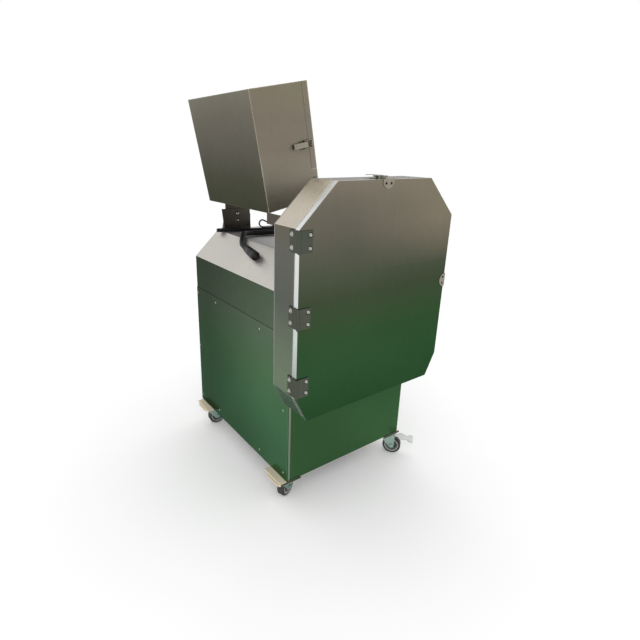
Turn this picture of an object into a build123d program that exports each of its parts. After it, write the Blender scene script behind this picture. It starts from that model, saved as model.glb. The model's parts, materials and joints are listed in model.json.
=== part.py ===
from build123d import *
import math
import os

# Vegetable cutting machine: a belt-driven knife disc in an eight-sided housing on a wheeled cabinet.
# All sizes are in millimetres. While it is being modelled, x runs right from the cabinet's left side,
# y runs back from the cabinet's front and z runs up from the floor. The last step moves everything so
# that the origin lies on the floor, in the middle of the machine.

# Cabinet
cabinet_width = 600
cabinet_depth = 750
shoulder_height = 845
roof_height = 953
roof_slope_run = 113
side_cover_top = 699
sheet = 2
tube = 30
tube_wall = 2
rail_top = 784
mid_rail_y = 256
louvre_count = 8
louvre_pitch = 34
louvre_width = 150
louvre_start = 90
louvre_slot = 7
louvre_hood = 8

# Cutting housing and its door
housing_left = -65
housing_right = 621
housing_top = 1228
housing_bottom = 458
upper_chamfer_run = 135
upper_chamfer_drop = 131
lower_chamfer_run = 45
lower_chamfer_rise = 90
housing_depth = 107
back_plate = 3
lip_width = 12
door_depth = 22
door_lip_width = 16
seal_depth = 4.7
seal_width = 12
bend_radius = 3
seat_gap = 0.3

# Cutter and drive
shaft_x = 278
shaft_z = 843
shaft_radius = 20
shaft_front = -74
shaft_rear = 345
seal_height = 3.5
running_fit = 0.05
disc_radius = 300
disc_thickness = 6
disc_back = -10
knife_count = 4
knife_inner = 78
knife_outer = 284
knife_thickness = 2.5
knife_lift = 2.5
knife_bow = 26
knife_trail = 22
hub_radius = 62
hub_flange = 12
bearing_height = 49
bearing_width = 46
bearing_ring = 30
front_bearing_y = 50
rear_bearing_y = 262
pulley_y = 318
pulley_width = 36
groove_pitch = 15
large_pulley_radius = 106
small_pulley_radius = 48
motor_x = 300
motor_z = 250
motor_radius = 78
motor_front = 352
motor_length = 240
motor_shaft_radius = 14
motor_fins = 16

# Hopper, feed chute and what carries them
hopper_x = 66
hopper_y = 236
hopper_z = 1092
hopper_lean = 11.2
hopper_width = 240
hopper_depth = 485
hopper_length = 412
hopper_strip = 24
hopper_door_bottom = 112
chute_left = 190
chute_right = 280
chute_floor = 962
chute_slope = 0.497
chute_left_height = 60
chute_height = 135
side_slide_rise = 130
hopper_skirt = 75
bracket_height = 99
bracket_foot_left = 131
bracket_foot_right = 268
bracket_top_left = 119
bracket_top_right = 263
bracket_flange = 26
bracket_sheet = 3
tab_left = 140
tab_right = 252
tab_low = 985
tab_top = 1150
tab_thickness = 5
arm_drop = 40
left_arm_x = 70
left_arm_width = 26
right_arm_x = 290
right_arm_width = 40

# Hinges and latches
hinge_length = 67
hinge_reach = 48
hinge_leaf = 3
hinge_side_reach = 50
knuckle_radius = 5
pin_radius = 2.5
hinge_heights = (588, 824, 1060)
latch_gap = 0.6
wire_radius = 1.5
latch_top_x = 277
latch_right_z = 852
hopper_latch_s = 203

# Buttons
button_stem = 10
collar_height = 5

# Casters
pad_length = 118
pad_width = 92
pad_thickness = 6
pad_left_reach = 30
pad_right_reach = 14
pad_front_reach = 4
pad_rear_inset = 10
caster_plate = 5
caster_plate_length = 92
caster_plate_width = 76
raceway_height = 4
raceway_radius = 24
crown_radius = 27
crown_height = 11.7
kingpin_radius = 6
wheel_radius = 40
wheel_width = 30
wheel_side_gap = 2
wheel_top_gap = 3
tyre_depth = 9
caster_trail = 38
fork_sheet = 3
axle_radius = 5
axle_head = 8
caster_left_inset = 0
caster_right_inset = 28
caster_front_inset = 46
caster_rear_inset = 68
caster_right_x = cabinet_width - caster_right_inset
caster_rear_y = cabinet_depth - caster_rear_inset
caster_centres = {
    "front_left": (caster_left_inset, caster_front_inset),
    "front_right": (caster_right_x, caster_front_inset),
    "rear_left": (caster_left_inset, caster_rear_y),
    "rear_right": (caster_right_x, caster_rear_y),
}
caster_headings = {"front_left": 25, "front_right": -52, "rear_left": -5, "rear_right": -62}
braked_casters = ("front_right", "rear_right")
pedal_x = 41
pedal_rise = 8
pedal_z = 2 * wheel_radius + pedal_rise
pedal_pin = 2.5
pedal_tilt = 6
pedal_sheet = 4

# The cabinet's underside lies as high as a caster and its pad stand
fork_top = 2 * wheel_radius + wheel_top_gap + crown_height
cabinet_bottom = fork_top + seat_gap + raceway_height + caster_plate + pad_thickness

# Cables
power_cable_radius = 11
signal_cable_radius = 3.5
connector_radius = 18.5
connector_length = 98
connector_lift = 18.9
hank_height = 15

parts = {}


def prism(points, direction, length):
    """Solid of a flat outline, given by its corners in space, pushed along a direction."""
    return extrude(make_face(Polyline(*points, close=True)), amount=length, dir=direction)


def prism_y(outline, y0, y1):
    """Solid of an (x, z) outline between two planes across y."""
    return prism([(x, y0, z) for x, z in outline], (0, 1, 0), y1 - y0)


def block(x0, x1, y0, y1, z0, z1):
    """Box between two corners."""
    return Pos((x0 + x1) / 2, (y0 + y1) / 2, (z0 + z1) / 2) * Box(x1 - x0, y1 - y0, z1 - z0)


def shrunk(box, wall):
    """Limits of a box moved inwards by the wall on every side."""
    x0, x1, y0, y1, z0, z1 = box
    return x0 + wall, x1 - wall, y0 + wall, y1 - wall, z0 + wall, z1 - wall


def rod(start, end, radius):
    """Round bar from one point to another."""
    axis = Vector(*end) - Vector(*start)
    return extrude(Plane(origin=start, z_dir=axis) * Circle(radius), amount=axis.length)


def ring(start, end, outer, inner):
    """Round tube from one point to another."""
    return rod(start, end, outer) - rod(start, end, inner)


def disc_y(x, z, y0, y1, radius):
    """Round plate across y."""
    return rod((x, y0, z), (x, y1, z), radius)


def inset(outline, margin):
    """The same closed outline with every side moved inwards by the margin."""
    moved = []
    for number, here in enumerate(outline):
        before = Vector(*outline[number - 1])
        corner = Vector(*here)
        after = Vector(*outline[(number + 1) % len(outline)])
        first = (corner - before).normalized()
        second = (after - corner).normalized()
        first_normal = Vector(-first.Y, first.X)
        second_normal = Vector(-second.Y, second.X)
        shift = (first_normal + second_normal) * (margin / (1 + first_normal.dot(second_normal)))
        moved.append((corner.X + shift.X, corner.Y + shift.Y))
    return moved


def keep(name, *shapes):
    """Store solids under the name of their sub-part, beside any that it already has."""
    solids = [solid for shape in shapes for solid in shape.solids()]
    parts.setdefault(name, []).extend(solids)


# Outlines shared by several pieces, as (x, z) corners counterclockwise seen from the front
housing_outline = [
    (housing_left + lower_chamfer_run, housing_bottom),
    (housing_right - lower_chamfer_run, housing_bottom),
    (housing_right, housing_bottom + lower_chamfer_rise),
    (housing_right, housing_top - upper_chamfer_drop),
    (housing_right - upper_chamfer_run, housing_top),
    (housing_left + upper_chamfer_run, housing_top),
    (housing_left, housing_top - upper_chamfer_drop),
    (housing_left, housing_bottom + lower_chamfer_rise),
]
roof_outline = [
    (0, shoulder_height),
    (cabinet_width, shoulder_height),
    (cabinet_width - roof_slope_run, roof_height),
    (roof_slope_run, roof_height),
]


def chute_section(margin=0):
    """Corners of the feed chute's passage in the plane of the housing's back, grown by the margin."""
    slant = chute_height - chute_left_height
    passage = [
        (chute_left, chute_floor),
        (chute_right, chute_floor),
        (chute_right, chute_floor + chute_height),
        (chute_left + slant, chute_floor + chute_height),
        (chute_left, chute_floor + chute_left_height),
    ]
    return inset(passage, -margin)


def lean(shape):
    """Place a piece drawn upright at the hopper's front left lower corner into the leaning hopper."""
    return Location((hopper_x, hopper_y, hopper_z), (0, -hopper_lean, 0)) * shape


def make_frame():
    """Welded frame of square tube: base ring, posts, upper ring and rails for bearings and motor."""
    near = sheet
    far_x = cabinet_width - near
    far_y = cabinet_depth - near
    rail_low = rail_top - tube
    bars = []
    for low in (cabinet_bottom, rail_low):
        for y in (near, far_y - tube):
            bars.append((near, far_x, y, y + tube, low, low + tube))
        for x in (near, far_x - tube):
            bars.append((x, x + tube, near, far_y, low, low + tube))
    for x in (near, far_x - tube):
        for y in (near, far_y - tube):
            bars.append((x, x + tube, y, y + tube, cabinet_bottom, rail_top))
    bars.append((near, far_x, mid_rail_y, mid_rail_y + tube, rail_low, rail_top))
    for y in (motor_front + 40, motor_front + motor_length - 70):
        bars.append((near, far_x, y, y + tube, cabinet_bottom, cabinet_bottom + tube))
    outside = Part() + [block(*bar) for bar in bars]
    hollow = Part() + [block(*shrunk(bar, tube_wall)) for bar in bars]
    keep("welded_frame", outside - hollow)

    pads = []
    pad_top = cabinet_bottom
    for x0 in (-pad_left_reach, cabinet_width + pad_right_reach - pad_width):
        for y0 in (-pad_front_reach, cabinet_depth - pad_rear_inset - pad_length):
            pads.append(block(x0, x0 + pad_width, y0, y0 + pad_length, pad_top - pad_thickness, pad_top))
    keep("caster_mounts", *pads)


def button_places():
    """Centre, head radius, head height and travel of each button, on the roof's right slope."""
    slant = math.hypot(roof_slope_run, roof_height - shoulder_height)
    x = cabinet_width - roof_slope_run / 2
    z = (shoulder_height + roof_height) / 2
    normal = ((roof_height - shoulder_height) / slant, 0, roof_slope_run / slant)
    for name, y, radius, height, travel in (("start_button", 160, 11, 3, 4), ("stop_button", 240, 20, 14, 6)):
        yield name, Location(Plane(origin=(x, y, z), x_dir=(0, 1, 0), z_dir=normal)), radius, height, travel


def make_panels():
    """Sheet covers of the cabinet: front, back with louvres, two side covers and the folded roof."""
    skirt_low = side_cover_top - 2 * tube
    outer = [(0, skirt_low), (cabinet_width, skirt_low)] + roof_outline[1:] + roof_outline[:1]
    lining = inset(outer, sheet)[2:]
    left_x = sheet
    right_x = cabinet_width - sheet
    end_outline = [(0, cabinet_bottom), (cabinet_width, cabinet_bottom), (cabinet_width, skirt_low)]
    end_outline += [(right_x, skirt_low)] + lining + [(left_x, skirt_low), (0, skirt_low)]

    front = prism_y(end_outline, 0, sheet)
    keep("front_panel", front - disc_y(shaft_x, shaft_z, -1, cabinet_depth, shaft_radius + 16))

    back = prism_y(end_outline, cabinet_depth - sheet, cabinet_depth)
    for number in range(louvre_count):
        z = cabinet_bottom + louvre_start + number * louvre_pitch
        top = z + louvre_slot
        hood = [(cabinet_depth, top), (cabinet_depth + louvre_hood, top - louvre_hood)]
        hood += [(cabinet_depth + louvre_hood, top - louvre_hood + sheet), (cabinet_depth, top + sheet)]
        for x in (cabinet_width / 2 - louvre_width - 20, cabinet_width / 2 + 20):
            back -= block(x, x + louvre_width, cabinet_depth - 5, cabinet_depth + 5, z, top)
            back += prism([(x, y, height) for y, height in hood], (1, 0, 0), louvre_width)
    keep("back_panel", back)

    below = [(left_x, skirt_low - 1), (right_x, skirt_low - 1)]
    roof = prism_y(outer, 0, cabinet_depth) - prism_y(below + lining, -1, cabinet_depth + 1)
    for name, place, radius, height, travel in button_places():
        roof -= place * Cylinder(button_stem + seat_gap, 30)
    keep("roof", roof)

    left = block(-sheet, 0, 0, cabinet_depth, cabinet_bottom, side_cover_top)
    right = block(cabinet_width, cabinet_width + sheet, 0, cabinet_depth, cabinet_bottom, side_cover_top)
    keep("side_covers", left, right)


def make_housing():
    """Eight-sided cutting housing, open below for the cut produce, and its back plate."""
    low_left = housing_left + lower_chamfer_run + 1
    low_right = housing_right - lower_chamfer_run - 1
    shell = prism_y(housing_outline, -housing_depth, -back_plate)
    shell -= prism_y(inset(housing_outline, sheet), -housing_depth - 1, -back_plate + 1)
    lip = prism_y(housing_outline, -housing_depth, -housing_depth + sheet)
    lip -= prism_y(inset(housing_outline, lip_width), -housing_depth - 1, 0)
    shell += lip
    outlet_top = housing_bottom + lip_width + 1
    shell -= block(low_left, low_right, -housing_depth - 1, 0, housing_bottom - 1, outlet_top)
    keep("cutting_housing", shell)

    plate = prism_y(housing_outline, -back_plate, 0)
    plate -= disc_y(shaft_x, shaft_z, -5, 5, shaft_radius + 16)
    plate -= prism_y(chute_section(), -5, 5)
    keep("housing_back_plate", plate)

    collar = disc_y(shaft_x, shaft_z, -back_plate - seal_height, -back_plate, shaft_radius + 28)
    keep("shaft_seal", collar - disc_y(shaft_x, shaft_z, -9, 1, shaft_radius + 1))


def make_door():
    """Door pan with a folded edge, its return lip and the seal that closes on the housing."""
    edge = -housing_depth - seal_depth - seat_gap
    front = edge - door_depth
    pan = prism_y(housing_outline, front, edge)
    pan = fillet(pan.faces().sort_by(Axis.Y)[0].edges(), bend_radius)
    pan -= prism_y(inset(housing_outline, sheet), front + sheet, edge - sheet)
    pan -= prism_y(inset(housing_outline, door_lip_width), front + sheet, edge + 1)
    seal = prism_y(inset(housing_outline, 1), edge, edge + seal_depth)
    seal -= prism_y(inset(housing_outline, 1 + seal_width), edge - 1, edge + seal_depth + 1)
    cut_top = housing_bottom + seal_width + 4
    low_cut = block(housing_left + 60, housing_right - 60, edge - 1, 0, housing_bottom - 1, cut_top)
    keep("door_panel", pan)
    keep("door_seal", seal - low_cut)
    return front


def hinge_at(place, height):
    """One butt hinge folded round a corner that runs along the place's z: fixed leaf, moving leaf, pin.

    The corner is the place's origin. The fixed leaf lies on the side that faces -x, the moving leaf on
    the side that faces -y.
    """
    axis_x = -hinge_leaf - seat_gap
    axis_y = -hinge_leaf
    half = hinge_length / 2
    third = hinge_length / 3
    low, high = height - half, height + half
    split_low, split_high = low + third, high - third
    bore = rod((axis_x, axis_y, low - 5), (axis_x, axis_y, high + 5), pin_radius + running_fit)

    fixed = block(axis_x, axis_x + hinge_leaf, axis_y, axis_y + hinge_side_reach, low, high)
    room_back = axis_y + knuckle_radius + 1
    fixed -= block(axis_x - 9, axis_x + 9, axis_y - 9, room_back, split_low, split_high)
    for z0, z1 in ((low, split_low), (split_high, high)):
        fixed += rod((axis_x, axis_y, z0), (axis_x, axis_y, z1), knuckle_radius)

    moving = block(axis_x, axis_x + hinge_reach, axis_y, 0, low, high)
    knuckle_low, knuckle_high = split_low + seat_gap, split_high - seat_gap
    for z0, z1 in ((low - 1, knuckle_low), (knuckle_high, high + 1)):
        moving -= block(axis_x - 9, axis_x + knuckle_radius + 1, axis_y - 9, axis_y + 9, z0, z1)
    moving += rod((axis_x, axis_y, knuckle_low), (axis_x, axis_y, knuckle_high), knuckle_radius)

    pin = rod((axis_x, axis_y, low - 2), (axis_x, axis_y, high + 2), pin_radius)
    pin += rod((axis_x, axis_y, high), (axis_x, axis_y, high + 2), knuckle_radius - 1)
    return place * (fixed - bore), place * (moving - bore), place * pin


def latch_at(place, keeper_plate):
    """One draw latch: base with ears, lever, wire bail and keeper.

    In the place's frame the seam runs along y at x = 0, the base lies at x > 0 and z points out of the
    sheet. The bail's wire lies just above the keeper's hook.
    """
    pivot_x, pivot_z = 15, 8
    bail_x, bail_z = 23, 9
    hook_top = bail_z - wire_radius - latch_gap
    base = block(6, 44, -15, 15, 0, 1.5)
    for side in (-1, 1):
        ear = block(9, 21, min(side * 9.8, side * 11.4), max(side * 9.8, side * 11.4), 0, 10.5)
        base += ear
    pin_hole = rod((pivot_x, -20, pivot_z), (pivot_x, 20, pivot_z), 1.5 + running_fit)
    base -= pin_hole

    profile = [(11, 10), (11, 11.4), (60, 11.4), (72, 9.6), (72, 8.2), (60, 10)]
    lever = prism([(x, -9.5, z) for x, z in profile], (0, 1, 0), 19)
    for side in (-1, 1):
        cheek = block(10.5, 34, min(side * 8, side * 9.5), max(side * 8, side * 9.5), 5, 11.4)
        lever += cheek
    lever += rod((pivot_x, -11.4, pivot_z), (pivot_x, 11.4, pivot_z), 1.5)
    lever -= rod((bail_x, -12, bail_z), (bail_x, 12, bail_z), 1.2 + running_fit)

    leg = 13.2
    bail = Part()
    for side in (-1, 1):
        bail += rod((bail_x, side * leg, bail_z), (-9, side * leg, bail_z), wire_radius)
        bail += rod((bail_x, side * 8.2, bail_z), (bail_x, side * leg, bail_z), 1.2)
        bail += Pos(bail_x, side * leg, bail_z) * Sphere(wire_radius)
        bail += Pos(-9, side * leg, bail_z) * Sphere(wire_radius)
    bail += rod((-9, -leg, bail_z), (-9, leg, bail_z), wire_radius)

    hook = [(-4.2, 1.5), (-4.2, hook_top), (-12, hook_top), (-12, hook_top - 1.5), (-5.7, hook_top - 1.5)]
    hook += [(-5.7, 1.5)]
    keeper = keeper_plate + prism([(x, -9, z) for x, z in hook], (0, 1, 0), 18)
    return place * base, place * lever, place * bail, place * keeper


def half_round_plate(x0, reach, width, thickness):
    """Flat keeper plate with a straight side at x0 and a round far side, with two screw holes."""
    outline = Plane.XY * (Pos(x0 - reach + width / 2, 0) * Circle(width / 2))
    outline &= Plane.XY * (Pos(x0 - reach / 2, 0) * Rectangle(reach, width))
    plate = extrude(outline, amount=thickness)
    for y in (-11.5, 11.5):
        plate -= Pos(x0 - reach * 0.45, y, 0) * Cylinder(2.2, 4 * thickness)
    return plate


def folded_keeper():
    """Keeper folded over the door's edge: a strip on the edge and a half-round plate on the face."""
    top = block(-door_depth - seal_depth - 2 * seat_gap - 1.5, -4.2, -25, 25, 0, 1.5)
    face = half_round_plate(0, 30, 50, 1.5)
    face = Location((-door_depth - seal_depth - 2 * seat_gap, 0, 1.5), (0, -90, 0)) * face
    return top + face


def make_door_fittings(door_front):
    """Three hinges, the top latch and the side latch."""
    corner = Location((housing_left, door_front, 0))
    hinges = [hinge_at(corner, height) for height in hinge_heights]
    keep("hinge_fixed_leaves", *[piece for fixed, moving, pin in hinges for piece in (fixed, pin)])
    keep("door_hinge_leaves", *[moving for fixed, moving, pin in hinges])

    top_seam = (latch_top_x, -housing_depth, housing_top)
    side_seam = (housing_right, -housing_depth, latch_right_z)
    top_place = Location(Plane(origin=top_seam, x_dir=(0, 1, 0), z_dir=(0, 0, 1)))
    side_place = Location(Plane(origin=side_seam, x_dir=(0, 1, 0), z_dir=(1, 0, 0)))
    keepers = []
    bases = []
    for name, place in (("top", top_place), ("side", side_place)):
        base, lever, bail, keeper = latch_at(place, folded_keeper())
        bases.append(base)
        keep(name + "_latch_lever", lever)
        keep(name + "_latch_bail", bail)
        keepers.append(keeper)
    keep("door_keepers", *keepers)
    keep("latch_bases", *bases)


def crescent(inner_shift, outer_shift, front, back):
    """One curved bar of the knife form, between two arcs that run from the hub to the rim."""
    middle = (knife_inner + knife_outer) / 2
    start_low, start_high = (knife_inner, inner_shift), (knife_inner, outer_shift)
    end_low, end_high = (knife_outer, inner_shift - knife_trail), (knife_outer, outer_shift - knife_trail)
    edges = ThreePointArc(start_low, (middle, inner_shift + knife_bow), end_low)
    edges += Line(end_low, end_high)
    edges += ThreePointArc(end_high, (middle, outer_shift + knife_bow), start_high)
    edges += Line(start_high, start_low)
    plane = Plane(origin=(shaft_x, front, shaft_z), x_dir=(1, 0, 0), z_dir=(0, 1, 0))
    return extrude(plane * make_face(edges), amount=back - front)


def around_shaft(shape, count):
    """Copies of a piece turned evenly about the shaft."""
    axis = Axis((shaft_x, 0, shaft_z), (0, 1, 0))
    return [shape.rotate(axis, 360 / count * number) for number in range(count)]


def make_cutter():
    """Knife disc: slots beside curved knives on spacers, a keyed hub and a clamping knob."""
    disc_front = disc_back - disc_thickness
    disc = disc_y(shaft_x, shaft_z, disc_front, disc_back, disc_radius)
    disc -= disc_y(shaft_x, shaft_z, disc_front - 1, disc_back + 1, shaft_radius + running_fit)
    disc += disc_y(shaft_x, shaft_z, disc_front - 10, disc_front, disc_radius)
    disc -= disc_y(shaft_x, shaft_z, disc_front - 11, disc_front, disc_radius - 5)
    slot = crescent(2, 20, disc_front - 1, disc_back + 1)
    for cut in around_shaft(slot, knife_count):
        disc -= cut
    keep("cutter_disc", disc)

    knife_back = disc_back + knife_lift
    knife = crescent(16, 50, knife_back, knife_back + knife_thickness)
    leading_face = knife.faces().sort_by(Axis.Z)[-1]
    edge_line = leading_face.edges().sort_by(Axis.Y)[0]
    knife = chamfer(edge_line, knife_thickness - 0.5, 6, reference=leading_face)
    knives = around_shaft(knife, knife_count)
    keep("knives", *knives)

    spacer = crescent(28, 48, disc_back, knife_back)
    screws = around_shaft(spacer, knife_count)
    middle = (knife_inner + knife_outer) / 2
    row = ThreePointArc((knife_inner, 38), (middle, 38 + knife_bow), (knife_outer, 38 - knife_trail))
    for fraction in (0.12, 0.5, 0.88):
        x, z = shaft_x + (row @ fraction).X, shaft_z - (row @ fraction).Y
        head = disc_y(x, z, knife_back + knife_thickness, knife_back + knife_thickness + 1.5, 6)
        nut = disc_y(x, z, disc_front - 5, disc_front, 6)
        screws += [piece for both in (head, nut) for piece in around_shaft(both, knife_count)]
    keep("knife_fixings", *screws)

    bore = disc_y(shaft_x, shaft_z, -100, 0, shaft_radius + running_fit)
    hub = disc_y(shaft_x, shaft_z, disc_front - hub_flange, disc_front, hub_radius)
    hub += disc_y(shaft_x, shaft_z, disc_front - 34, disc_front, shaft_radius + 14)
    keep("disc_hub", hub - bore)

    knob_back = disc_front - 34
    knob = disc_y(shaft_x, shaft_z, shaft_front - 4, knob_back, 30)
    for number in range(6):
        angle = math.radians(60 * number)
        grip_x = shaft_x + 33 * math.cos(angle)
        grip_z = shaft_z + 33 * math.sin(angle)
        knob -= disc_y(grip_x, grip_z, shaft_front - 5, knob_back + 1, 9)
    knob -= disc_y(shaft_x, shaft_z, shaft_front, 0, shaft_radius - 6 + running_fit)
    keep("clamping_knob", knob)

    shaft = disc_y(shaft_x, shaft_z, knob_back, shaft_rear, shaft_radius)
    shaft += disc_y(shaft_x, shaft_z, shaft_front, knob_back, shaft_radius - 6)
    shaft += disc_y(shaft_x, shaft_z, disc_back, -back_plate - seal_height - seat_gap, shaft_radius + 12)
    keep("cutter_shaft", shaft)


def make_bearings():
    """Two pillow blocks on a plate, with the rings that turn with the shaft."""
    plate_top = shaft_z - bearing_height
    bearing_plate = block(shaft_x - 115, shaft_x + 115, 2 * sheet, mid_rail_y + tube, rail_top, plate_top)
    keep("drive_plates", bearing_plate)
    blocks, rings = [], []
    for y in (front_bearing_y, rear_bearing_y):
        y0, y1 = y - bearing_width / 2, y + bearing_width / 2
        foot = block(shaft_x - 92, shaft_x + 92, y0, y1, plate_top, plate_top + 18)
        for x in (shaft_x - 68, shaft_x + 68):
            foot -= Pos(x, y, plate_top + 9) * Cylinder(8, 30)
        body = foot + disc_y(shaft_x, shaft_z, y0 + 4, y1 - 4, bearing_ring + 16)
        body += block(shaft_x - 46, shaft_x + 46, y0 + 4, y1 - 4, plate_top + 10, shaft_z)
        blocks.append(body - disc_y(shaft_x, shaft_z, y0 - 1, y1 + 1, bearing_ring))
        outer = bearing_ring - seat_gap
        rings.append(ring((shaft_x, y0, shaft_z), (shaft_x, y1, shaft_z), outer, shaft_radius + running_fit))
    keep("bearing_blocks", *blocks)
    keep("bearing_rings", *rings)


def grooved_pulley(x, z, radius, bore):
    """V-belt pulley with two grooves and a hub, across the belt's plane."""
    y0 = pulley_y - pulley_width / 2
    outline = [(bore, y0), (radius, y0)]
    for middle in (pulley_y - groove_pitch / 2, pulley_y + groove_pitch / 2):
        outline += [(radius, middle - 6.5), (radius - 11, middle - 4)]
        outline += [(radius - 11, middle + 4), (radius, middle + 6.5)]
    outline += [(radius, y0 + pulley_width), (bore, y0 + pulley_width)]
    profile = make_face(Polyline(*[(x + reach, y, z) for reach, y in outline], close=True))
    return revolve(profile, Axis((x, 0, z), (0, 1, 0)), 360)


def belt(middle):
    """V-belt loop round both pulleys, flat sided, a little narrower than its groove."""
    def loop(large, small, y0, y1):
        away = Vector(motor_x - shaft_x, 0, motor_z - shaft_z)
        distance = away.length
        angle = math.atan2(away.Z, away.X)
        spread = math.acos((large - small) / distance)
        left, right = angle + spread, angle - spread
        start = (shaft_x + large * math.cos(left), shaft_z + large * math.sin(left))
        end = (shaft_x + large * math.cos(right), shaft_z + large * math.sin(right))
        far_start = (motor_x + small * math.cos(left), motor_z + small * math.sin(left))
        far_end = (motor_x + small * math.cos(right), motor_z + small * math.sin(right))
        top = (shaft_x - large * math.cos(angle), shaft_z - large * math.sin(angle))
        bottom = (motor_x + small * math.cos(angle), motor_z + small * math.sin(angle))
        path = ThreePointArc(start, top, end)
        path += Line(end, far_end)
        path += ThreePointArc(far_end, bottom, far_start)
        path += Line(far_start, start)
        plane = Plane(origin=(0, y1, 0), x_dir=(1, 0, 0), z_dir=(0, -1, 0))
        return extrude(plane * make_face(path), amount=y1 - y0)

    ride = 1.2
    thick = 8
    large, small = large_pulley_radius - ride, small_pulley_radius - ride
    outer = loop(large, small, middle - 4.1, middle + 4.1)
    inner = loop(large - thick, small - thick, middle - 5, middle + 5)
    return outer - inner


def make_drive():
    """Belt drive: pulley on the cutter shaft, motor with its pulley, and the two belts."""
    large = grooved_pulley(shaft_x, shaft_z, large_pulley_radius, shaft_radius + running_fit)
    for number in range(5):
        angle = math.radians(72 * number)
        window = disc_y(shaft_x + 60 * math.cos(angle), shaft_z + 60 * math.sin(angle), 200, 400, 17)
        large -= window
    keep("shaft_pulley", large)
    small = grooved_pulley(motor_x, motor_z, small_pulley_radius, motor_shaft_radius + running_fit)
    keep("motor_pulley", small)
    keep("drive_belts", belt(pulley_y - groove_pitch / 2), belt(pulley_y + groove_pitch / 2))

    motor_back = motor_front + motor_length
    body = disc_y(motor_x, motor_z, motor_front + 20, motor_back, motor_radius - 8)
    body += disc_y(motor_x, motor_z, motor_front, motor_front + 20, motor_radius - 2)
    body += disc_y(motor_x, motor_z, motor_back - 60, motor_back, motor_radius)
    fin_top = motor_z + motor_radius - 1
    fin = block(motor_x - 1.5, motor_x + 1.5, motor_front + 20, motor_back - 60, motor_z, fin_top)
    for number in range(motor_fins):
        body += fin.rotate(Axis((motor_x, 0, motor_z), (0, 1, 0)), 360 / motor_fins * number)
    box_front = motor_front + 70
    body += block(motor_x + 30, motor_x + 106, box_front, box_front + 90, motor_z - 35, motor_z + 35)
    body -= disc_y(motor_x, motor_z, motor_front - 1, motor_front + 30, motor_shaft_radius + seat_gap)
    foot_low = cabinet_bottom + tube + 10
    for side in (-1, 1):
        x0, x1 = sorted((motor_x + side * 45, motor_x + side * 95))
        body += block(x0, x1, motor_front + 45, motor_back - 55, foot_low, foot_low + 12)
        x0, x1 = sorted((motor_x + side * 45, motor_x + side * 57))
        body += block(x0, x1, motor_front + 45, motor_back - 55, foot_low, motor_z - 40)
    keep("motor", body)
    shaft_end = pulley_y - pulley_width / 2 - 4
    inner_end = motor_front + 30 - seat_gap
    keep("motor_shaft", disc_y(motor_x, motor_z, shaft_end, inner_end, motor_shaft_radius))
    plate = block(motor_x - 120, motor_x + 120, motor_front + 30, motor_back - 30, foot_low - 10, foot_low)
    keep("drive_plates", plate)


def along_chute(outline, y0, y1):
    """Solid of an (x, z) outline, given at the housing's back, pushed up the chute between two planes."""
    start = [(x, y0, z + chute_slope * y0) for x, z in outline]
    run = Vector(0, y1 - y0, chute_slope * (y1 - y0))
    return prism(start, run, run.length)


def make_hopper():
    """Leaning hopper with its side door, the sloping slide inside, and the chute to the housing."""
    w, d, h = hopper_width, hopper_depth, hopper_length
    outside = block(0, w, 0, d, -hopper_skirt, h)
    inside = block(sheet, w - sheet, sheet, d - sheet, -hopper_skirt - 1, h + 1)
    walls = outside - inside
    walls -= block(w - hopper_strip, w + 1, -1, sheet, hopper_door_bottom, h + 1)
    walls -= block(w - sheet - seat_gap, w + 1, -1, d + 1, hopper_door_bottom, h + 1)
    walls = lean(walls)
    slide_top = [(chute_left - side_slide_rise, chute_floor + side_slide_rise), (chute_left, chute_floor)]
    slide_top += [(chute_right + 60, chute_floor)]
    room_top = chute_floor + 300
    over_slide = slide_top + [(chute_right + 60, room_top), (chute_left - side_slide_rise, room_top)]
    reach = (hopper_y - 60, hopper_y + hopper_depth + 60)
    upper = walls & lean(block(-1, w + 1, -1, d + 1, 0, h))
    skirt = walls & lean(block(-1, w + 1, -1, d + 1, -hopper_skirt, 0)) & along_chute(over_slide, *reach)
    body = upper + skirt - along_chute(chute_section(), hopper_y - 5, hopper_y + 10)
    keep("hopper_body", body.solids().sort_by(SortBy.VOLUME)[-1])

    low = hopper_door_bottom + seat_gap
    door = block(w - sheet, w, seat_gap, d, low, h)
    door += block(w - hopper_strip + seat_gap, w, 0, sheet - seat_gap, low, h)
    back_edge = door.edges().filter_by(Axis.Z).group_by(Axis.Y)[-1].sort_by(Axis.X)[-1]
    keep("hopper_door", lean(fillet(back_edge, sheet - 0.1)))

    plate = slide_top + [(x, z - sheet) for x, z in reversed(slide_top)]
    sloped = along_chute(plate, *reach)
    keep("hopper_slide", sloped & lean(block(sheet, w - sheet, sheet, d - sheet, -hopper_skirt, h)))

    shell = along_chute(chute_section(sheet), 0, hopper_y)
    keep("feed_chute", shell - along_chute(chute_section(), -5, hopper_y + 5))


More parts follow.
